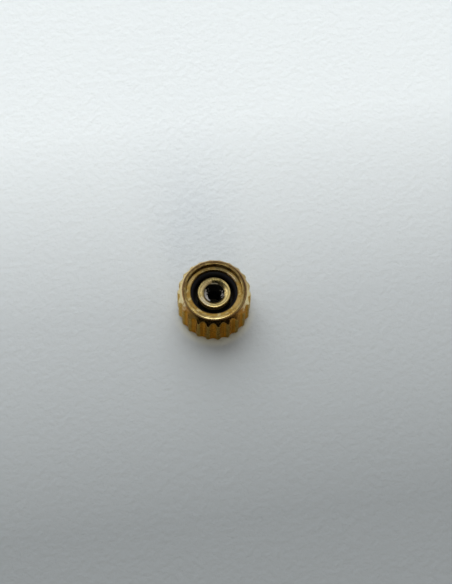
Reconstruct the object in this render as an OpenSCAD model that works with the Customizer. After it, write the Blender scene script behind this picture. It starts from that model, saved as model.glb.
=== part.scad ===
// Waterproof watch crown for a plain push-on case tube: a fluted head with a stem post
// in its middle, and a rubber gasket held round the case tube by a pressed-in washer.
// The crown stands on its outer face with the stem side up. Z is the axis, in millimetres.

/* [Head] */
// Diameter of the head over the crests between the flutes
head_d = 4.0; // [3.8:0.1:5]
// Height of the head, from its outer face to its rim
head_h = 2.5; // [2.4:0.1:4]
// Slope of the bevel between the rim and the crests, in degrees from the rim's face
rim_bevel_angle = 61; // [40:1:66]
// Width of the flat land on the rim
rim_land_w = 0.09; // [0.04:0.01:0.12]
// Radius of the rounding between the land and the bevel
rim_round = 0.16; // [0.06:0.02:0.2]
// Slope of the bevel round the outer face, in degrees from that face
face_bevel_angle = 30; // [20:1:60]
// Height of the bevel round the outer face
face_bevel_h = 0.24; // [0.1:0.02:0.4]
// Radius of the rounding between the outer face and its bevel
face_round = 0.30; // [0.06:0.02:0.4]

/* [Flutes] */
// Number of flutes round the head
flute_count = 22; // [16:1:26]
// Depth of a flute below the crests
flute_depth = 0.12; // [0.08:0.01:0.18]
// Width of the crest left between two flutes
crest_w = 0.14; // [0.06:0.01:0.18]

/* [Case tube] */
// Outer diameter of the case tube that the crown slides over
tube_d = 2.50; // [2.3:0.05:2.6]
// Radial clearance round the case tube
tube_clearance = 0.02; // [0.01:0.01:0.06]
// Depth of the tube's way, from the rim to its floor
tube_way_depth = 1.60; // [1.4:0.05:1.8]

/* [Gasket and washer] */
// Width of the washer's ring, from its hole to the wall of the chamber that holds it
washer_w = 0.26; // [0.2:0.01:0.3]
// Lead-in chamfer at the mouth of the chamber
chamber_chamfer = 0.03; // [0.01:0.01:0.05]
// Thickness of the gasket's round section
gasket_section = 0.42; // [0.36:0.02:0.5]
// Clearance round the gasket in its chamber
gasket_clearance = 0.01; // [0.005:0.005:0.02]
// Depth of the washer's face below the rim
washer_recess = 0.20; // [0.1:0.02:0.3]
// Thickness of the washer
washer_t = 0.22; // [0.14:0.02:0.3]
// Radius of the rolled edge round the washer's hole
washer_round = 0.06; // [0.02:0.01:0.1]

/* [Stem post] */
// Diameter of the post
post_d = 1.78; // [1.7:0.02:1.9]
// Depth of the post's end below the rim
post_recess = 0.30; // [0.2:0.01:0.5]
// Radius of the rounding on the post's end
post_round = 0.06; // [0.03:0.01:0.08]
// Diameter of the foot that is pressed into the head
foot_d = 2.20; // [2:0.05:2.4]
// Thickness of the foot
foot_t = 0.45; // [0.2:0.05:0.5]
// Diameter of the drilled hole that takes the 0.90 mm stem thread
tap_drill_d = 0.70; // [0.6:0.02:0.8]
// Slope of the thread's lead-in, in degrees from the post's end
lead_in_angle = 60; // [45:5:70]
// Diameter of the thread's lead-in where it meets the countersink
lead_in_d = 1.08; // [0.94:0.02:1.2]
// Slope of the shallow countersink, in degrees from the post's end
countersink_angle = 30; // [15:5:45]
// Diameter of the countersink at the post's end
countersink_d = 1.56; // [1.3:0.02:1.62]

/* [Hidden] */
$fn = 96;
arc_steps = 8;
cut_past = 0.1;

head_r = head_d / 2;

// The case tube's way, and the wider chamber above it that holds the gasket and the washer.
tube_way_r = tube_d / 2 + tube_clearance;
chamber_r = tube_way_r + washer_w;

// The flute is a round cut whose chord at the crests leaves crest_w between neighbours.
flute_chord = head_d * sin(180 / flute_count) - crest_w;
flute_sag = flute_depth - (head_r - sqrt(head_r ^ 2 - (flute_chord / 2) ^ 2));
flute_r = ((flute_chord / 2) ^ 2 + flute_sag ^ 2) / (2 * flute_sag);
flute_axis_r = head_r - flute_depth + flute_r;

// The rounding on the rim starts where the land ends, and runs tangent into the bevel.
rim_land_r = chamber_r + chamber_chamfer + rim_land_w;
rim_corner_r = rim_land_r + rim_round * tan(rim_bevel_angle / 2);
rim_bevel_h = (head_r - rim_corner_r) * tan(rim_bevel_angle);

// The outer face ends where its own rounding starts.
face_corner_r = head_r - face_bevel_h / tan(face_bevel_angle);
face_flat_r = face_corner_r - face_round * tan(face_bevel_angle / 2);

// Heights and radii of the faces that the pieces share.
washer_top_z = head_h - washer_recess;
washer_z = washer_top_z - washer_t;
chamber_z = washer_z - gasket_section - 2 * gasket_clearance;
tube_way_z = head_h - tube_way_depth;
foot_z = tube_way_z - foot_t;
post_top_z = head_h - post_recess;
gasket_r = gasket_section / 2;
gasket_ring_r = chamber_r - gasket_clearance - gasket_r;

// Depths of the two cones at the post's mouth, one below the other.
countersink_h = (countersink_d - lead_in_d) / 2 * tan(countersink_angle);
lead_in_h = (lead_in_d - tap_drill_d) / 2 * tan(lead_in_angle);

// Points of an arc of radius r about centre c, from angle a to angle b.
function arc(c, r, a, b) = [
    for (i = [0:arc_steps]) let (t = a + (b - a) * i / arc_steps) c + r * [cos(t), sin(t)]
];

// Outline of the head blank: outer face, its bevel, the crests, the rim's bevel and land.
head_outline = concat(
    [[0, 0]],
    arc([face_flat_r, face_round], face_round, -90, face_bevel_angle - 90),
    [[head_r, face_bevel_h], [head_r, head_h - rim_bevel_h]],
    arc([rim_land_r, head_h - rim_round], rim_round, 90 - rim_bevel_angle, 90),
    [[0, head_h]]
);

// Outline of the post: a foot, a straight shank and a rounded end.
post_outline = concat(
    [[0, foot_z], [foot_d / 2, foot_z], [foot_d / 2, tube_way_z], [post_d / 2, tube_way_z]],
    arc([post_d / 2 - post_round, post_top_z - post_round], post_round, 0, 90),
    [[0, post_top_z]]
);

// Half section of the washer, with its hole's upper edge rolled over by the punch.
washer_outline = concat(
    [[chamber_r, washer_top_z], [chamber_r, washer_z], [tube_way_r, washer_z]],
    arc([tube_way_r + washer_round, washer_top_z - washer_round], washer_round, 180, 90)
);

module bore(d, z, top) {
    translate([0, 0, z]) cylinder(d = d, h = top - z);
}

// A cone cut from diameter d up to top, where its diameter is top_d, carried on past top.
module mouth(d, top_d, top, h) {
    growth = (top_d - d) / h;
    translate([0, 0, top - h])
        cylinder(d1 = d, d2 = top_d + growth * cut_past, h = h + cut_past);
}

module flute_cuts() {
    for (i = [0:flute_count - 1])
        rotate(i * 360 / flute_count)
            translate([flute_axis_r, 0, -cut_past])
                cylinder(r = flute_r, h = head_h + 2 * cut_past);
}

// Turned brass head: fluted outside, bored in steps from the stem side.
module knurled_head() {
    color("goldenrod")
        difference() {
            rotate_extrude() polygon(head_outline);
            flute_cuts();
            bore(2 * chamber_r, chamber_z, head_h + cut_past);
            mouth(2 * chamber_r, 2 * (chamber_r + chamber_chamfer), head_h, chamber_chamfer);
            bore(2 * tube_way_r, tube_way_z, head_h);
            bore(foot_d, foot_z, head_h);
        }
}

// Steel post that the winding stem screws into, closed below by the head.
module stem_post() {
    color("gold")
        difference() {
            rotate_extrude() polygon(post_outline);
            bore(tap_drill_d, foot_z - cut_past, post_top_z + cut_past);
            mouth(tap_drill_d, lead_in_d, post_top_z - countersink_h, lead_in_h);
            mouth(lead_in_d, countersink_d, post_top_z, countersink_h);
        }
}

// Rubber ring that grips the outside of the case tube.
module gasket_ring() {
    color("black")
        translate([0, 0, chamber_z + gasket_clearance + gasket_r])
            rotate_extrude() translate([gasket_ring_r, 0]) circle(r = gasket_r);
}

// Punched washer, pressed into the mouth of the chamber over the gasket.
module retaining_washer() {
    color("khaki") rotate_extrude() polygon(washer_outline);
}

knurled_head();
stem_post();
gasket_ring();
retaining_washer();
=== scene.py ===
"""A small gold-plated watch crown, standing on its outer face on a sheet of pale paper."""

import math
from types import SimpleNamespace

import bmesh
import bpy
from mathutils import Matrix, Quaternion, Vector


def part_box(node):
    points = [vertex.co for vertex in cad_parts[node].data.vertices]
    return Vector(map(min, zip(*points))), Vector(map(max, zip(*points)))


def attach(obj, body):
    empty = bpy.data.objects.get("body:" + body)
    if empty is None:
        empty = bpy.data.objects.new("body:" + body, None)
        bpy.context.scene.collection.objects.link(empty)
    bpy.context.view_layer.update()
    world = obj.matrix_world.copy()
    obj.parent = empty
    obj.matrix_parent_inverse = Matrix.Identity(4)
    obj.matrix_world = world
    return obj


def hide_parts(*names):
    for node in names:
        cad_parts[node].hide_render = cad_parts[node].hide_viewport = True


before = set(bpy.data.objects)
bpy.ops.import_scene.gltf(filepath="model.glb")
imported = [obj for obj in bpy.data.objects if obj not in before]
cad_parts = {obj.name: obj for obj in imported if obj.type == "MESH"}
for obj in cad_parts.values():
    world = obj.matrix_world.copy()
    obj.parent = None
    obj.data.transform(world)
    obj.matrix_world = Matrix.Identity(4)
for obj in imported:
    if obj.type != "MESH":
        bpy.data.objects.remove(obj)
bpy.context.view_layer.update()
mm = 0.001

# Head. A brass blank is turned, bored in steps from the stem side and fluted by a round
# cutter. It is then tumbled, which softens the edges, and plated with gold all over.

head_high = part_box("knurled_head")[1]
washer_low, washer_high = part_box("retaining_washer")
post_low, post_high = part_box("stem_post")

crest_r = head_high.y
head_h = head_high.z
chamber_r = washer_high.y
gasket_room = 0.44 * mm
chamber_z = washer_low.z - gasket_room
tube_way_r = 1.27 * mm
tube_way_depth = 1.60 * mm
tube_way_z = head_h - tube_way_depth
foot_r = post_high.y
foot_z = post_low.z

rim_bevel_angle = math.radians(61)
rim_land_w = 0.09 * mm
rim_round = 0.16 * mm
chamber_chamfer = 0.03 * mm
face_bevel_angle = math.radians(30)
face_bevel_h = 0.24 * mm
face_round = 0.30 * mm
edge_ease = 0.012 * mm

rim_land_r = chamber_r + chamber_chamfer + rim_land_w
rim_corner_r = rim_land_r + rim_round * math.tan(rim_bevel_angle / 2)
rim_bevel_z = head_h - (crest_r - rim_corner_r) * math.tan(rim_bevel_angle)
face_corner_r = crest_r - face_bevel_h / math.tan(face_bevel_angle)

face_corner = (face_corner_r, 0)
face_edge = (crest_r, face_bevel_h)
rim_edge = (crest_r, rim_bevel_z)
rim_corner = (rim_corner_r, head_h)
mouth_corner = (chamber_r + chamber_chamfer, head_h)
chamber_step = (tube_way_r, chamber_z)
same_place = 0.001 * mm


def pick(piece, chosen):
    """Selects the vertices of the piece in edit mode whose place is chosen, and no others."""
    bpy.ops.mesh.select_all(action="DESELECT")
    cage = bmesh.from_edit_mesh(piece.data)
    for vertex in cage.verts:
        vertex.select_set(chosen(vertex.co))
    cage.select_flush(True)
    bmesh.update_edit_mesh(piece.data)


def draw_outline(name, corners):
    """Draws half a section as a chain of edges, from corners given as radius and height."""
    bpy.ops.object.select_all(action="DESELECT")
    bpy.ops.mesh.primitive_plane_add(size=mm)
    piece = bpy.context.object
    piece.name = piece.data.name = name
    bpy.ops.object.mode_set(mode="EDIT")
    bpy.ops.mesh.merge(type="CENTER")
    points = [Vector((r, 0, z)) for r, z in corners]
    bpy.ops.transform.translate(value=points[0])
    for start, end in zip(points, points[1:]):
        bpy.ops.mesh.extrude_vertices_move(TRANSFORM_OT_translate={"value": end - start})
    return piece


def round_corner(piece, corner, size, steps):
    """Rounds the outline at a corner, starting at a distance of size on each side of it."""
    place = Vector((corner[0], 0, corner[1]))
    pick(piece, lambda co: (co - place).length < same_place)
    bpy.ops.mesh.bevel(offset=size, segments=steps, profile=0.5, affect="VERTICES")


def divide(piece, low_z, high_z, low_r, high_r, cuts):
    """Divides the outline's straight stretch whose two ends lie in that field."""
    slack = same_place / 2
    pick(
        piece,
        lambda co: low_r - slack < co.x < high_r + slack and low_z - slack < co.z < high_z + slack,
    )
    bpy.ops.mesh.subdivide(number_cuts=cuts)


def turn(steps, angle=math.tau, copies=False):
    """Turns the piece in edit mode round the crown's axis, or repeats it there as copies."""
    bpy.ops.mesh.select_all(action="SELECT")
    bpy.ops.mesh.spin(
        steps=steps,
        angle=angle,
        center=(0, 0, 0),
        axis=(0, 0, 1),
        dupli=copies,
        use_auto_merge=not copies,
    )


def close_piece(smooth_angle=35):
    """Merges the piece's seams and poles, and leaves it smooth but for its sharp edges."""
    bpy.ops.mesh.select_all(action="SELECT")
    bpy.ops.mesh.remove_doubles(threshold=same_place / 10)
    bpy.ops.mesh.normals_make_consistent(inside=False)
    bpy.ops.object.mode_set(mode="OBJECT")
    bpy.ops.object.shade_smooth_by_angle(angle=math.radians(smooth_angle))


head = draw_outline(
    "fluted_head",
    [
        (0, 0),
        face_corner,
        face_edge,
        rim_edge,
        rim_corner,
        mouth_corner,
        (chamber_r, head_h - chamber_chamfer),
        (chamber_r, chamber_z),
        chamber_step,
        (tube_way_r, tube_way_z),
        (foot_r, tube_way_z),
        (foot_r, foot_z),
        (0, foot_z),
    ],
)
round_corner(head, rim_corner, rim_round * math.tan(rim_bevel_angle / 2), steps=12)
round_corner(head, face_corner, face_round * math.tan(face_bevel_angle / 2), steps=8)
round_corner(head, face_edge, edge_ease, steps=3)
round_corner(head, rim_edge, edge_ease, steps=3)
round_corner(head, mouth_corner, edge_ease / 2, steps=2)
round_corner(head, chamber_step, edge_ease, steps=2)

clear_of_round = 0.04 * mm
clear_of_edge = 0.002 * mm
bevel_end_r = crest_r - clear_of_edge
divide(head, rim_bevel_z, head_h - clear_of_round, rim_corner_r, bevel_end_r, cuts=22)
divide(head, clear_of_round, face_bevel_h, face_corner_r, bevel_end_r, cuts=16)
divide(head, face_bevel_h, rim_bevel_z, crest_r, crest_r, cuts=10)

# The flutes. One pitch of the head is turned, pulled in where the round cutter goes, and
# repeated round the axis. A flute is centred on +X. The tumbling leaves soft edges.

flute_count = 22
flute_depth = 0.12 * mm
crest_w = 0.14 * mm
flute_steps = 32
tumbled = 0.035 * mm
flute_pitch = math.tau / flute_count
turn(flute_steps, flute_pitch)
bpy.ops.object.mode_set(mode="OBJECT")
flute_half = crest_r * math.sin(flute_pitch / 2) - crest_w / 2
flute_sag = flute_depth - (crest_r - math.sqrt(crest_r**2 - flute_half**2))
flute_r = (flute_half**2 + flute_sag**2) / (2 * flute_sag)
flute_axis_r = crest_r - flute_depth + flute_r

for vertex in head.data.vertices:
    wall = math.hypot(vertex.co.x, vertex.co.y)
    angle = math.atan2(vertex.co.y, vertex.co.x)
    off_centre = (angle + flute_pitch / 2) % flute_pitch - flute_pitch / 2
    across = flute_axis_r * math.sin(off_centre)
    if wall < crest_r - 2 * flute_depth or abs(across) >= flute_r:
        continue
    cut = flute_axis_r * math.cos(off_centre) - math.sqrt(flute_r**2 - across**2)
    softness = max(tumbled - abs(wall - cut), 0) / tumbled
    new_wall = min(wall, cut) - softness**2 * tumbled / 4
    vertex.co.x *= new_wall / wall
    vertex.co.y *= new_wall / wall

bpy.ops.object.mode_set(mode="EDIT")
turn(flute_count - 1, math.tau - flute_pitch, copies=True)
close_piece()


class Field:
    """A value or colour that varies over a surface, held as the socket that gives it."""

    def __init__(self, tree, socket=None):
        self.tree = tree
        self.socket = socket

    def node(self, kind, settings=None, inputs=None, output=0):
        """Adds a node with its settings and its inputs' values or links, and returns an output."""
        new = self.tree.nodes.new(kind)
        for name, value in (settings or {}).items():
            setattr(new, name, value)
        for name, value in (inputs or {}).items():
            if isinstance(value, Field):
                self.tree.links.new(value.socket, new.inputs[name])
            else:
                new.inputs[name].default_value = value
        return Field(self.tree, new.outputs[output])

    def math(self, operation, *values):
        """Maths on numbers."""
        return self.node("ShaderNodeMath", {"operation": operation}, dict(enumerate(values)))

    def vector(self, operation, *values, output="Vector"):
        """Maths on places and directions."""
        return self.node(
            "ShaderNodeVectorMath", {"operation": operation}, dict(enumerate(values)), output
        )

    def __add__(self, other):
        return self.math("ADD", self, other)

    def __radd__(self, other):
        return self.math("ADD", other, self)

    def __sub__(self, other):
        return self.math("SUBTRACT", self, other)

    def __rsub__(self, other):
        return self.math("SUBTRACT", other, self)

    def __mul__(self, other):
        return self.math("MULTIPLY", self, other)

    def __rmul__(self, other):
        return self.math("MULTIPLY", other, self)

    def __abs__(self):
        return self.math("ABSOLUTE", self)

    def larger(self, other):
        """This or the other, whichever is the larger."""
        return self.math("MAXIMUM", self, other)

    def past(self, low, high, rise="SMOOTHSTEP"):
        """0 below low and 1 above high, with a smooth rise between them, or a LINEAR one."""
        return self.node(
            "ShaderNodeMapRange",
            {"interpolation_type": rise},
            {"Value": self, "From Min": low, "From Max": high},
        )

    def before(self, low, high):
        """1 below low and 0 above high, with a smooth fall between them."""
        return 1 - self.past(low, high)

    def between(self, start, end):
        """1 between two soft edges, and 0 outside them. Each edge is a pair of low and high."""
        return self.past(*start) * self.before(*end)

    def parts(self):
        """The X, Y and Z of this place or direction."""
        split = self.node("ShaderNodeSeparateXYZ", inputs={0: self}).socket.node
        return [Field(self.tree, socket) for socket in split.outputs]

    def flat(self):
        """This place without its height."""
        return self.vector("MULTIPLY", self, (1, 1, 0))

    def length(self):
        """The distance of this place from the origin."""
        return self.vector("LENGTH", self, output="Value")

    def noise(self, scale, detail=2.0, roughness=0.5):
        """Noise from 0 to 1 at this place, with scale in features to the millimetre."""
        return self.node(
            "ShaderNodeTexNoise",
            {"noise_dimensions": "3D"},
            {"Vector": self, "Scale": scale, "Detail": detail, "Roughness": roughness},
        )

    def mix(self, first, second):
        """The first colour where this is 0, and the second where it is 1. Sockets 0, 6 and 7
        of the node are its factor and its two colours, and output 2 is the mixed colour."""
        return self.node(
            "ShaderNodeMix", {"data_type": "RGBA"}, {0: self, 6: first, 7: second}, output=2
        )


def start_finish(name):
    """Makes a material, and gives it, its shader and the place on the piece in millimetres."""
    finish = bpy.data.materials.new(name)
    finish.use_nodes = True
    tree = finish.node_tree
    shader = tree.nodes["Principled BSDF"]
    place = Field(tree).node("ShaderNodeTexCoord", output="Object")
    place = place.node(
        "ShaderNodeVectorMath", {"operation": "SCALE"}, {0: place, "Scale": 1 / mm}
    )
    return finish, shader, place


def feed(field, shader, name):
    """Lets the field drive the shader's socket of that name."""
    field.tree.links.new(field.socket, shader.inputs[name])


def roughen(heights, shader, strength, depth):
    """Gives the shader's surface fine bumps from a field of heights, where 1 is depth high."""
    bump = heights.node(
        "ShaderNodeBump", inputs={"Strength": strength, "Distance": depth, "Height": heights}
    )
    feed(bump, shader, "Normal")


def gild(name, fresh=(0.92, 0.67, 0.23, 1), back_darkening=0.3, tarnished=0.85):
    """Gold plate over turned metal. Returns the material, its shader, the fields that place
    things on it, and the fields that a piece adds its own wear and dirt to, and its painted
    light and painted shade."""
    brown_tarnish = (0.46, 0.26, 0.06, 1)
    pale_gold = (1.0, 0.82, 0.42, 1)
    old_gold = (0.24, 0.20, 0.09, 1)
    winding = (1.2, 1.2, 0)
    finish, shader, place = start_finish(name)
    x, y, height = place.parts()
    flat = place.flat()
    radius = flat.length()
    way = flat.vector("NORMALIZE", flat)
    section = place.node("ShaderNodeCombineXYZ", inputs={0: radius, 1: height, 2: 0.0})
    around = way.vector("MULTIPLY_ADD", way, winding, section)
    cloud = place.noise(1.6, detail=3)
    blotch = place.noise(7, detail=4, roughness=0.65)
    uneven = blotch - 0.5
    streak = around.noise(5, detail=3)
    turned = around.noise(30, detail=3)
    fleck = place.noise(4.5, detail=2)
    tarnish = (cloud * 0.4 + fleck * 0.7 + streak * 0.4).past(0.70, 0.92)
    # Aged also grows darker towards the back of the piece, +Y, by back_darkening.
    aged = (y * back_darkening + (cloud - 0.5) * 1.8 + uneven).past(-0.05, 0.60)
    colour = (tarnish * tarnished).mix(fresh, brown_tarnish)
    colour = (fleck.before(0.34, 0.46) * 0.6).mix(colour, pale_gold)
    colour = (aged * 0.9).mix(colour, old_gold)
    return SimpleNamespace(
        finish=finish,
        shader=shader,
        place=place,
        x=x,
        y=y,
        height=height,
        radius=radius,
        way=way,
        blotch=blotch,
        uneven=uneven,
        colour=colour,
        roughness=0.08 + turned * 0.08 + blotch * 0.08 + tarnish * 0.12 + aged * 0.08,
        relief=turned * 0.4 + blotch * 0.5,
        metallic=None,
    )


def towards(gilt, azimuth):
    """How far a place is from the axis towards an azimuth in degrees. 0 is -Y, and 90 is +X."""
    angle = math.radians(azimuth)
    return gilt.x * math.sin(angle) - gilt.y * math.cos(angle)


def near(gilt, azimuth, spread, core=0.0):
    """A soft stripe along an azimuth. It is 1 where a place falls short of its own radius by up
    to the core, and 0 from the spread on. With a core below 0 it stays a little under 1."""
    return (towards(gilt, azimuth) - gilt.radius).past(-spread, -core)


def paint(gilt, *coats):
    """Lays coats over the gold in turn, each by its mask, its strength and its colour."""
    for mask, strength, colour in coats:
        gilt.colour = (mask * strength).mix(gilt.colour, colour)


def lay_gilding(gilt, piece):
    """Joins the gold plate's fields to its shader, and puts it on the piece."""
    warm_sheen = (0.80, 0.66, 0.42, 1)
    feed(gilt.colour, gilt.shader, "Base Color")
    feed(gilt.roughness, gilt.shader, "Roughness")
    feed(gilt.metallic, gilt.shader, "Metallic")
    gilt.shader.inputs["Specular Tint"].default_value = warm_sheen
    roughen(gilt.relief, gilt.shader, strength=0.3, depth=0.006 * mm)
    piece.data.materials.append(gilt.finish)


# The head's finish. The back of the bevel is worn pale, with a painted reflection in the pale.
# The front of the bevel and the tops of the front flutes hold painted shade. The flutes are
# brown with tarnish, and at the front the flutes and crests are darker with painted shade.
# The rim has a painted highlight at the front, tarnish and painted shade on its edge at the
# back, and a painted dark line round its outside. The chamber wall is dark with grime and
# painted shade, and the bore below the washer is dark with old grease and painted shade.

bevel_brown = (0.45, 0.20, 0.04, 1)
bevel_shade = (0.10, 0.085, 0.028, 1)
worn_lit_gold = (1.0, 0.85, 0.50, 1)
dull_bevel = (0.38, 0.28, 0.13, 1)
flute_stain_and_shade = (0.54, 0.21, 0.022, 1)
flute_dark_stain_and_shade = (0.34, 0.12, 0.012, 1)
flute_bright = (0.90, 0.63, 0.22, 1)
flute_dull = (0.66, 0.41, 0.11, 1)
flute_edge_shade = (0.17, 0.085, 0.022, 1)
flute_shade = (0.10, 0.05, 0.015, 1)
front_crest_shaded = (0.26, 0.165, 0.055, 1)
rear_crest = (0.84, 0.63, 0.26, 1)
land_dark = (0.20, 0.115, 0.04, 1)
land_dull = (0.38, 0.27, 0.095, 1)
land_highlight = (0.85, 0.70, 0.34, 1)
land_brown = (0.40, 0.28, 0.11, 1)
edge_brown_shade = (0.20, 0.125, 0.06, 1)
edge_dark_shade = (0.08, 0.045, 0.02, 1)
edge_highlight = (0.46, 0.36, 0.16, 1)
edge_bright = (0.68, 0.58, 0.28, 1)
edge_line_brown = (0.24, 0.135, 0.06, 1)
grime_and_shade = (0.04, 0.024, 0.010, 1)
thin_grime_and_shade = (0.36, 0.23, 0.10, 1)
wall_spot_gold = (0.44, 0.34, 0.17, 1)
grease_and_shade = (0.015, 0.012, 0.008, 1)

gilt = gild("gilt_head")
radius = gilt.radius
uneven = gilt.uneven
below_rim = head_h / mm - gilt.height
from_bevel = below_rim - (radius - rim_corner_r / mm) * math.tan(rim_bevel_angle)
rear = (gilt.y + uneven * 1.2).past(-1.15, 0.0)
right_back = towards(gilt, 143.1).past(0.8, 1.8)
right_side = gilt.x.past(0.3, 1.5) * gilt.y.before(0.7, 1.4)
# At the front the rim's land and edge are painted pale as a painted highlight, palest in a narrow
# glint.
front_highlight = (towards(gilt, -9.8) - uneven * 0.4).past(1.38, 1.62)
glint = (towards(gilt, -9.8) - uneven * 0.2).past(1.52, 1.67)
# This mask marks the front, where the bevel and the tops of the flutes get painted shade.
shaded = (towards(gilt, -21.2) - uneven * 0.4).past(1.404, 1.665)

on_bevel = from_bevel.before(0.01, 0.03) * radius.past(1.72, 1.76)
off_bevel = 1 - on_bevel
# The back of the bevel is worn pale, and the pale also stands for a painted reflection of the lit
# paper.
worn_and_lit = on_bevel * (towards(gilt, 172.6) + uneven * 1.19).past(-1.14, -0.595)
in_flute = radius.between((1.78, 1.80), (1.94, 1.99)) * off_bevel
# Painted shadow lies in the tops of the front flutes, under the bevel.
shade_under_bevel = in_flute * shaded * from_bevel.before(0.04, 0.26)
crest = radius.past(1.955, 1.99) * off_bevel

top = below_rim.before(0.06, 0.12)
land = radius.between((1.54, 1.56), (1.70, 1.74)) * top
left_front = near(gilt, 328.5, 0.0443, core=-0.0059)
right_front = near(gilt, 55.2, 0.0779, core=-0.0022)
browned = land * (left_front * 0.7).larger(right_front * 0.5)
edge_r = radius + uneven * 0.04
edge = (edge_r + right_side * 0.03).past(1.65, 1.68) * radius.before(1.71, 1.74) * top
# A painted dark line, a painted dark reflection, runs round the rim's outer edge, where it is also
# a little less metallic.
dark_edge_line = (edge_r - right_side * 0.01).past(1.69, 1.715) * top
dark_edge_line = dark_edge_line * (radius - right_side * 0.05).before(1.75, 1.77)

# The chamber wall above the washer is dark with grime and painted shade, most at the back.
wall = radius.before(1.535, 1.55) * below_rim.between((0.01, 0.03), (0.21, 0.23))
# One place on the wall at the back is lighter.
lighter_wall_spot = wall * near(gilt, 155.75, 0.0472, core=0.0071)
# The bore below the washer is dark with old grease and painted shade, rough and less metallic.
inside = radius.before(1.56, 1.60) * below_rim.past(0.22, 0.30) * gilt.height.past(0.02, 0.06)

# At the front the flutes are brown with tarnish and darker with painted shade, and the crests are
# darker with painted shade. At the back both are bright gold.
runs = gilt.way.noise(16, detail=3).past(0.40, 0.62)
front_flute_shaded = runs.mix(flute_stain_and_shade, flute_dark_stain_and_shade)
rear_flute = runs.mix(flute_bright, flute_dull)
flute_gold = rear.mix(front_flute_shaded, rear_flute)
# The outer sides of every flute are darkened with painted shade.
flute_gold = (radius.past(1.92, 1.96) * 0.8).mix(flute_gold, flute_edge_shade)
crest_gold = rear.mix(front_crest_shaded, rear_crest)
land_stain = gilt.place.noise(3.2, detail=3).past(0.42, 0.60).mix(land_dark, land_dull)
wall_grime_and_shade = gilt.blotch.past(0.48, 0.62).mix(grime_and_shade, thin_grime_and_shade)

paint(
    gilt,
    (on_bevel, 0.95, bevel_brown),
    # Painted shade on the front of the bevel.
    (on_bevel * shaded, 0.65, bevel_shade),
    (worn_and_lit, 0.95, worn_lit_gold),
    (on_bevel * right_back, 0.8, dull_bevel),
    (in_flute, 0.9, flute_gold),
    (shade_under_bevel, 0.6, flute_shade),
    (crest, 0.9, crest_gold),
    (land * rear, 0.9, land_stain),
    (land * front_highlight, 0.4, land_highlight),
    (browned, 1.2, land_brown),
    # At the back the rim's edge is brown with tarnish and painted shade, darkest at the back
    # right.
    (edge * rear, 0.85, edge_brown_shade),
    (edge * rear * right_side, 0.7, edge_dark_shade),
    (edge * front_highlight, 0.7, edge_highlight),
    (edge * glint, 1.0, edge_bright),
    (dark_edge_line, 0.8, edge_line_brown),
    (wall, 0.35 + gilt.y.past(0.6, 1.25) * 0.6, wall_grime_and_shade),
    (lighter_wall_spot, 0.8, wall_spot_gold),
    (inside, 1.0, grease_and_shade),
)
gilt.roughness = gilt.roughness + in_flute * 0.04 + crest * 0.06 + (wall + inside) * 0.3
gilt.relief = gilt.relief * (1 - on_bevel * 0.7)
gilt.metallic = 1 - inside * 0.8 - dark_edge_line * 0.35
lay_gilding(gilt, head)
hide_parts("knurled_head")
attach(head, "root")

# Stem post. A steel post with a foot pressed into the head's floor. Its hole is countersunk
# and tapped for the winding stem. The plating thins out inside the hole.

post_r = 0.89 * mm
post_top_z = post_high.z
post_round = 0.06 * mm
countersink_r = 0.78 * mm
countersink_angle = math.radians(30)
lead_in_r = 0.54 * mm
lead_in_z = post_top_z - (countersink_r - lead_in_r) * math.tan(countersink_angle)
dished_r = 0.66 * mm
dished_angle = math.radians(24)
dished_z = post_top_z - (countersink_r - dished_r) * math.tan(dished_angle)
bore_r = 0.35 * mm
lead_in_angle = math.radians(60)
bore_top_z = lead_in_z - (lead_in_r - bore_r) * math.tan(lead_in_angle)
countersink_ease = 0.03 * mm
dished_ease = 0.05 * mm
post_steps = 144

post_corner = (post_r, post_top_z)
countersink_corner = (countersink_r, post_top_z)
dished_corner = (dished_r, dished_z)
lead_in_corner = (lead_in_r, lead_in_z)

post = draw_outline(
    "tapped_post",
    [
        (bore_r, foot_z),
        (foot_r, foot_z),
        (foot_r, tube_way_z),
        (post_r, tube_way_z),
        post_corner,
        countersink_corner,
        dished_corner,
        lead_in_corner,
        (bore_r, bore_top_z),
        (bore_r, foot_z),
    ],
)
round_corner(post, post_corner, post_round, steps=6)
round_corner(post, countersink_corner, countersink_ease, steps=4)
round_corner(post, dished_corner, dished_ease, steps=4)
round_corner(post, lead_in_corner, edge_ease, steps=3)
divide(post, bore_top_z, lead_in_z, bore_r, lead_in_r - clear_of_edge, cuts=28)
divide(post, foot_z, bore_top_z, bore_r, bore_r, cuts=92)
turn(post_steps)
close_piece()

# The thread. A tap of 0.90 mm with a pitch of 0.225 mm cuts a right-hand groove with sloping
# sides into the bore, and into the lead-in where the groove is deeper than the cone.

thread_r = 0.45 * mm
thread_pitch = 0.225 * mm
crest_share = 0.36
thread_soft = 0.012 * mm
blind_end = 0.01 * mm

for vertex in post.data.vertices:
    wall = math.hypot(vertex.co.x, vertex.co.y)
    if wall > lead_in_r or vertex.co.z < foot_z + blind_end:
        continue
    turns = math.atan2(vertex.co.y, vertex.co.x) / math.tau
    along = (vertex.co.z / thread_pitch - turns) % 1
    slope = max(0, 1 - abs(2 * along - 1) / (1 - crest_share))
    groove = bore_r + (thread_r - bore_r) * slope
    softness = max(thread_soft - abs(wall - groove), 0) / thread_soft
    new_wall = max(wall, groove) + softness**2 * thread_soft / 4
    vertex.co.x *= new_wall / wall
    vertex.co.y *= new_wall / wall

# The post's finish. Bare grey steel shows where the tap has cut through the plate, and at the
# left of the hole it is scoured into pale patches that are painted glints. The bottom of the
# hole and the shank below the gasket are dark with dirt and painted shade, the back of the
# countersink holds painted shade, and a painted pale highlight lies on the top at the front left.

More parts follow.
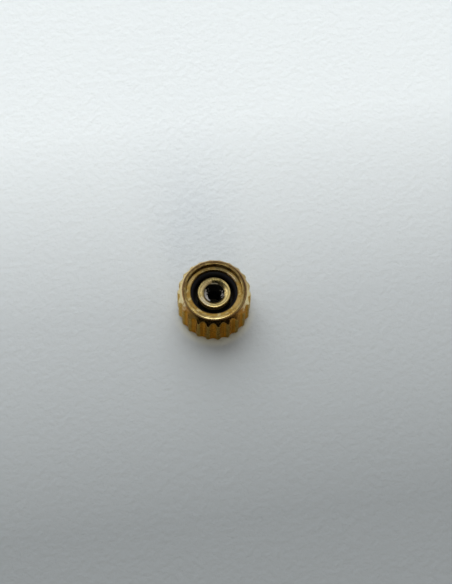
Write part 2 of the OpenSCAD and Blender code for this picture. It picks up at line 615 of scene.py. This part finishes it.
fresh_plate = (1.0, 0.79, 0.33, 1)
mouth_brown = (0.26, 0.18, 0.07, 1)
back_shade = (0.09, 0.07, 0.02, 1)
bare_steel = (0.34, 0.30, 0.23, 1)
glint_steel = (0.66, 0.64, 0.60, 1)
dirt_and_shade = (0.022, 0.022, 0.018, 1)
skirt_gold = (0.90, 0.58, 0.18, 1)
pale_glint_colour = (1.0, 0.88, 0.62, 1)
warm_gold = (0.80, 0.62, 0.30, 1)
burr_grey = (0.46, 0.42, 0.30, 1)

gilt = gild("gilt_post", fresh=fresh_plate, back_darkening=0.4, tarnished=0.2)
radius = gilt.radius
ragged = gilt.uneven * 0.25
below_top = post_top_z / mm - gilt.height
# Bare steel is scoured at the left and front left of the hole, and these pale, less metallic
# patches are painted glints.
sided = (gilt.x * -2.2).larger(gilt.x * 0.9) - abs(gilt.y + 0.1) * 1.5
scoured_glints = (sided + (gilt.place.noise(10) - 0.5) * 3.0).past(0.25, 0.60)
bare = (radius + ragged * 0.2).before(0.55, 0.59)
painted_glints = bare * scoured_glints * radius.before(0.49, 0.56)
at_mouth = radius.before(0.60, 0.70) * (1 - scoured_glints * 0.7)
# The back of the countersink gets a painted shade.
in_back = (gilt.y - abs(gilt.x - 0.2)).past(0.22, 0.45) * radius.before(0.79, 0.84)
warm = towards(gilt, 210.5).past(0.426, 0.568) * gilt.x.before(-0.1, 0.02)
warm = warm * radius.between((0.57, 0.62), (0.72, 0.78))
burr = (gilt.y - abs(gilt.x - 0.1)).past(0.28, 0.42)
burr = burr * radius.between((0.53, 0.56), (0.59, 0.62))
# A painted pale highlight lies on the post's top towards the front left.
pale_glint = near(gilt, -48.65, 0.1093, core=0.0193) * below_top.before(0.05, 0.12)
pale_glint = pale_glint * radius.between((0.58, 0.64), (0.84, 0.87))

rolled = radius.past(0.82, 0.86) * below_top.before(0.10, 0.16)
skirt = radius.past(0.865, 0.885) * below_top.before(0.22, 0.40)
# The shank below the gasket, the deep hole and the unscoured lead-in are dark with dirt and
# painted shade. Spots on the thread's crests stay bare steel.
shank = radius.past(0.86, 0.88) * below_top.past(0.10, 0.40)
glinting = radius.before(0.36, 0.385) * gilt.blotch.past(0.50, 0.60)
deep = (below_top + ragged - scoured_glints * 0.12).past(0.34, 0.46) * (1 - glinting)
dark = deep.larger(shank).larger(bare * (1 - scoured_glints))

paint(
    gilt,
    (at_mouth, 0.55 + gilt.x.past(0.3, 0.6) * 0.4, mouth_brown),
    (in_back, 0.8, back_shade),
    (bare, 1.0, bare_steel),
    (painted_glints, 1.0, glint_steel),
    (dark, 1.0, dirt_and_shade),
    (skirt, 0.9, skirt_gold),
    (pale_glint, 0.8, pale_glint_colour),
    (warm, 0.7, warm_gold),
    (burr, 0.8, burr_grey),
)
gilt.roughness = gilt.roughness + bare * 0.2 + dark * 0.25
gilt.metallic = 1 - (painted_glints + shank) * 0.7 - rolled * 0.25 - (warm + burr) * 0.35
lay_gilding(gilt, post)
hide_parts("stem_post")
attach(post, "root")

# Gasket. A moulded black rubber ring that lies in its chamber under the washer. A fine line
# runs round its inner side, where the two halves of the mould met.

ring_low, ring_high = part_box("gasket_ring")
ring_section_r = (ring_high.z - ring_low.z) / 2
ring_r = ring_high.y - ring_section_r
ring_z = (ring_high.z + ring_low.z) / 2
mould_line = 0.012 * mm
section_steps = 48
gasket_steps = 192
clean_rubber = (0.004, 0.004, 0.006, 1)
grey_dust = (0.03, 0.028, 0.026, 1)

inner_r = ring_r - ring_section_r
gasket = draw_outline("rubber_gasket", [(inner_r, ring_z)])
bpy.ops.mesh.spin(
    steps=section_steps,
    angle=math.tau,
    center=(ring_r, 0, ring_z),
    axis=(0, 1, 0),
    use_auto_merge=True,
)
pick(gasket, lambda co: co.x < inner_r + same_place / 10)
bpy.ops.transform.translate(value=(-mould_line, 0, 0))
turn(gasket_steps)
close_piece(smooth_angle=80)

rubber, shader, place = start_finish("black_rubber")
dust = place.noise(9, detail=4, roughness=0.7).past(0.52, 0.80)
feed((dust * 0.35).mix(clean_rubber, grey_dust), shader, "Base Color")
feed(0.55 + dust * 0.25, shader, "Roughness")
shader.inputs["Specular IOR Level"].default_value = 0.25
roughen(place.noise(22, detail=3), shader, strength=0.4, depth=0.008 * mm)
gasket.data.materials.append(rubber)
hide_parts("gasket_ring")
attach(gasket, "root")

# Washer. It is punched from sheet, which rolls the edge of its hole and leaves its face a
# little domed. It is plated, and pressed into the mouth of the chamber over the gasket.

washer_round = 0.06 * mm
washer_dome = 0.006 * mm
dome_round = 0.08 * mm
washer_steps = 256
washer_mid_r = (tube_way_r + washer_round + chamber_r) / 2

washer_crown = (washer_mid_r, washer_high.z)
hole_corner = (tube_way_r, washer_high.z - washer_dome)
outer_corner = (chamber_r, washer_high.z - washer_dome)
washer = draw_outline(
    "plain_washer",
    [
        (tube_way_r, washer_low.z),
        (chamber_r, washer_low.z),
        outer_corner,
        washer_crown,
        hole_corner,
        (tube_way_r, washer_low.z),
    ],
)
round_corner(washer, washer_crown, dome_round, steps=8)
round_corner(washer, hole_corner, washer_round, steps=6)
round_corner(washer, outer_corner, edge_ease, steps=3)
turn(washer_steps)
close_piece()

# The washer's finish. It is dull at the back, and round its hole its lip is darker with painted
# shade. Dirt has settled where it meets the head, and its underside is dark with old grease and
# painted shade. Two of its sides get painted light, and a small place at the back right holds a
# painted glint. One place at the back of its hole is darker.

dull_plate = (0.58, 0.375, 0.09, 1)
back_brown = (0.13, 0.09, 0.04, 1)
lip_brown = (0.20, 0.13, 0.05, 1)
lip_dark = (0.05, 0.032, 0.014, 1)
lit_side_gold = (0.85, 0.60, 0.24, 1)
dark_spot_colour = (0.05, 0.035, 0.015, 1)
glint_spot_gold = (0.90, 0.70, 0.40, 1)
corner_dirt = (0.10, 0.065, 0.03, 1)

gilt = gild("gilt_washer", fresh=dull_plate)
radius = gilt.radius
uneven = gilt.uneven
at_back = (gilt.y - abs(gilt.x) * 0.3).past(0.4, 1.2)
# The rolled lip round the hole is darkened with painted shade, most at the back.
lip = radius.before(1.29, 1.34)
# Two sides of the washer, at the front right and the back left, get painted light.
lit_sides = (abs(towards(gilt, 56)) - radius).past(-0.0717, -0.0018)
# One place at the back of the hole is darker.
dark_spot = near(gilt, 186.9, 0.0403) * radius.before(1.36, 1.40)
# A painted glint lies on the lip at the back right.
glint_spot = near(gilt, 125.93, 0.0704) * (radius + uneven * 0.2).before(1.33, 1.40)
corner = (radius + uneven * 0.06).past(1.47, 1.53)
# The washer's underside is dark with old grease and painted shade.
under = (washer_high.z / mm - gilt.height).past(0.07, 0.14)

paint(
    gilt,
    (at_back, 0.4, back_brown),
    (lip, 0.7, at_back.mix(lip_brown, lip_dark)),
    (lit_sides, 0.5, lit_side_gold),
    (dark_spot, 0.6, dark_spot_colour),
    (glint_spot, 0.9, glint_spot_gold),
    (corner, 0.2 + at_back * 0.4, corner_dirt),
    (under, 1.0, grease_and_shade),
)
gilt.roughness = gilt.roughness + corner * 0.2
gilt.metallic = 1 - under * 0.8
lay_gilding(gilt, washer)
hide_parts("retaining_washer")
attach(washer, "root")

# Paper. The crown stands on a flat sheet of pale grey paper with a soft grain. Its colour is
# darker towards the front and lighter behind, a painted shade and light, as in the photograph,
# and a painted warm light from the gold lies on it at the crown's foot.

paper_size = 1.6
shaded_paper_in_front = (0.258, 0.280, 0.290, 1)
paper_at_crown = (0.432, 0.464, 0.480, 1)
lit_paper_behind = (0.725, 0.776, 0.796, 1)
bounce_tint = (0.74, 0.75, 0.60, 1)

bpy.ops.object.select_all(action="DESELECT")
bpy.ops.mesh.primitive_grid_add(x_subdivisions=8, y_subdivisions=8, size=paper_size)
paper = bpy.context.object
paper.name = "paper"
stock, shader, place = start_finish("pale_paper")
towards_back = place.parts()[1]
front_half = towards_back.past(-12.0, 0.0, rise="LINEAR")
back_half = towards_back.past(0.0, 12.0, rise="LINEAR")
# Painted warm light from the gold lies on the paper at the crown's foot, towards the front.
painted_gold_bounce = place.flat().length().before(1.95, 2.45) * towards_back.before(-1.6, 0.2)
colour = front_half.mix(shaded_paper_in_front, paper_at_crown)
colour = back_half.mix(colour, lit_paper_behind)
colour = (painted_gold_bounce * 0.5).mix(colour, bounce_tint)
feed(colour, shader, "Base Color")
shader.inputs["Roughness"].default_value = 0.9
fibre = place.noise(2.8, detail=5, roughness=0.55)
roughen(fibre, shader, strength=0.65, depth=0.10 * mm)
paper.data.materials.append(stock)

# Light. A wide window behind the crown throws its shadow to the front, and the gold mirrors
# a softbox overhead. A weak light at the back left and a warm low one in front fill the dark.

lamp_distance = 0.40
warm_white = (1.0, 0.85, 0.62)


def direction(azimuth, elevation):
    """The way out from the crown, for angles in degrees. Azimuth 0 is in front, and 90 is +X."""
    turned = math.radians(azimuth)
    raised = math.radians(elevation)
    return Vector(
        (
            math.sin(turned) * math.cos(raised),
            -math.cos(turned) * math.cos(raised),
            math.sin(raised),
        )
    )


def hang_lamp(name, azimuth, elevation, size, power):
    """A round soft lamp that faces the crown."""
    lamp = bpy.data.lights.new(name, "AREA")
    lamp.shape = "DISK"
    lamp.size = size
    lamp.energy = power
    holder = bpy.data.objects.new(name, lamp)
    bpy.context.collection.objects.link(holder)
    outwards = direction(azimuth, elevation)
    holder.location = outwards * lamp_distance
    holder.rotation_mode = "QUATERNION"
    holder.rotation_quaternion = outwards.to_track_quat("Z", "Y")
    return holder


window = hang_lamp("window", azimuth=184, elevation=48, size=0.50, power=1.9)
window.visible_glossy = False
hang_lamp("softbox", azimuth=0, elevation=83, size=0.22, power=0.28)
hang_lamp("side_light", azimuth=243, elevation=25, size=0.26, power=0.055)
front_fill = hang_lamp("front_fill", azimuth=5, elevation=16, size=0.20, power=0.55)
front_fill.data.color = warm_white
front_fill.visible_glossy = False

# Card. A black card stands in front of the crown. Only the gold's reflections see it, and it
# gives the front of the bevel its dark line.

card_place = Vector((1.3 * mm, -6.5 * mm, 4.6 * mm))
card_height = 9 * mm
card_proportion = 2
card_black = (0.004, 0.004, 0.004, 1)
card_nap = (0.008, 0.008, 0.008, 1)

bpy.ops.object.select_all(action="DESELECT")
bpy.ops.mesh.primitive_grid_add(
    x_subdivisions=4,
    y_subdivisions=4,
    size=card_height,
    location=card_place,
    rotation=(math.pi / 2, 0, 0),
)
card = bpy.context.object
card.name = "dark_card"
card.scale.x = card_proportion
bpy.ops.object.transform_apply(location=True, rotation=True, scale=True)
black, shader, place = start_finish("black_card")
feed(place.noise(3, detail=3).mix(card_black, card_nap), shader, "Base Color")
shader.inputs["Roughness"].default_value = 0.95
card.data.materials.append(black)
card.visible_camera = card.visible_diffuse = card.visible_shadow = False

# Room. It is nearly dark in front. The gold mirrors its pale ceiling, the lit lower part of its
# back wall, which is brighter to the left, and its dim side walls, the right one less dim.

room = bpy.data.worlds.new("room")
bpy.context.scene.world = room
room.use_nodes = True
way = Field(room.node_tree).node("ShaderNodeTexCoord", output="Generated")
rightward, backward, upward = way.parts()
sideways = abs(rightward)
behind = backward.past(-0.15, 0.35)
ceiling = way.vector("DOT_PRODUCT", way, (0, 0.37, 0.93), output="Value").past(0.86, 0.97)
back_wall = (upward - 0.5 * sideways).before(0.25, 0.50) * behind
side_walls = sideways.past(0.35, 0.65) * upward.past(0.35, 0.60)
glow = 0.012 + 0.06 * behind + 0.44 * ceiling
glow = glow + (0.45 - 0.15 * rightward) * back_wall
glow = glow + (0.16 + 0.10 * rightward) * side_walls
feed(glow, room.node_tree.nodes["Background"], "Color")

# Camera. It looks down at the crown from the front, from about 85 mm, turned so that a
# crest stands just right of the middle.

view_azimuth = -9.05
view_elevation = 66.5
view_roll = math.radians(2.3)
view_distance = 85 * mm
pixels_high = 584
pixels_per_mm = 18.5
rim_centre_px = Vector((214.2, 290.0))
picture_centre_px = Vector((226, 292))
sensor_mm = 36

camera_data = bpy.data.cameras.new("camera")
camera_data.lens = pixels_per_mm * sensor_mm / pixels_high * view_distance / mm
camera_data.clip_start = 10 * mm
camera_data.clip_end = 4
camera = bpy.data.objects.new("camera", camera_data)
bpy.context.collection.objects.link(camera)
back = direction(view_azimuth, view_elevation)
turned = (-back).to_track_quat("-Z", "Y") @ Quaternion((0, 0, 1), view_roll)
off_centre = (picture_centre_px - rim_centre_px) / pixels_per_mm * mm
aim = Vector((0, 0, head_h)) + turned @ Vector((off_centre.x, -off_centre.y, 0))
camera.location = aim + back * view_distance
camera.rotation_mode = "QUATERNION"
camera.rotation_quaternion = turned
bpy.context.scene.camera = camera

bpy.context.scene.view_settings.view_transform = "Standard"
